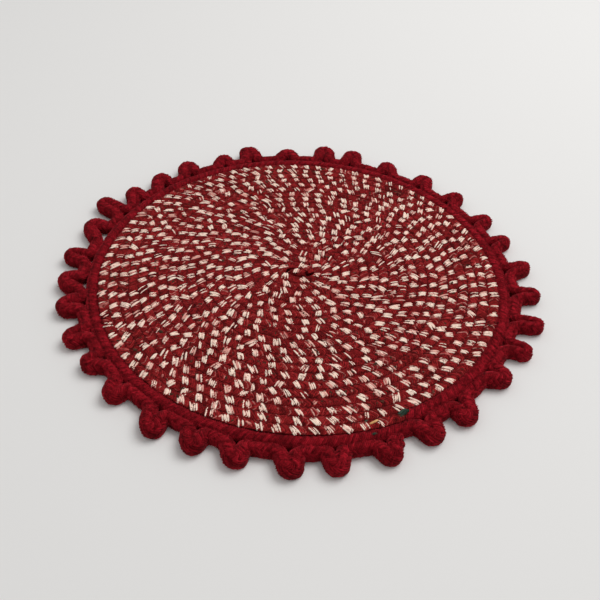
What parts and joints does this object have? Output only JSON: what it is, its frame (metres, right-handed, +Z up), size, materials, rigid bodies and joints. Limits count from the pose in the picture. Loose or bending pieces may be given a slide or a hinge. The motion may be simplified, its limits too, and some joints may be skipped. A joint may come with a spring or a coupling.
{
  "type": "braided coaster mat",
  "caption": "Round table coaster of braided wool cord: a red and cream patterned coil, a plain red turn and a rim of hairpin loops.",
  "frame": {"origin": "middle of the flat underside, on the surface that the coaster lies on", "axes": "+Z up out of the patterned face; +Y away from the viewer of the seed picture, +X to that viewer's right"},
  "size_m": [0.2407, 0.2419, 0.0062],
  "materials": {
    "patterned_wool": "matt braided wool, red with short cream blocks and a few dark green and gold strands",
    "red_wool": "matt braided wool, deep red"
  },
  "bodies": {
    "root": {"patterned_coil": "patterned_wool", "red_cord": "red_wool"}
  },
  "joints": []
}
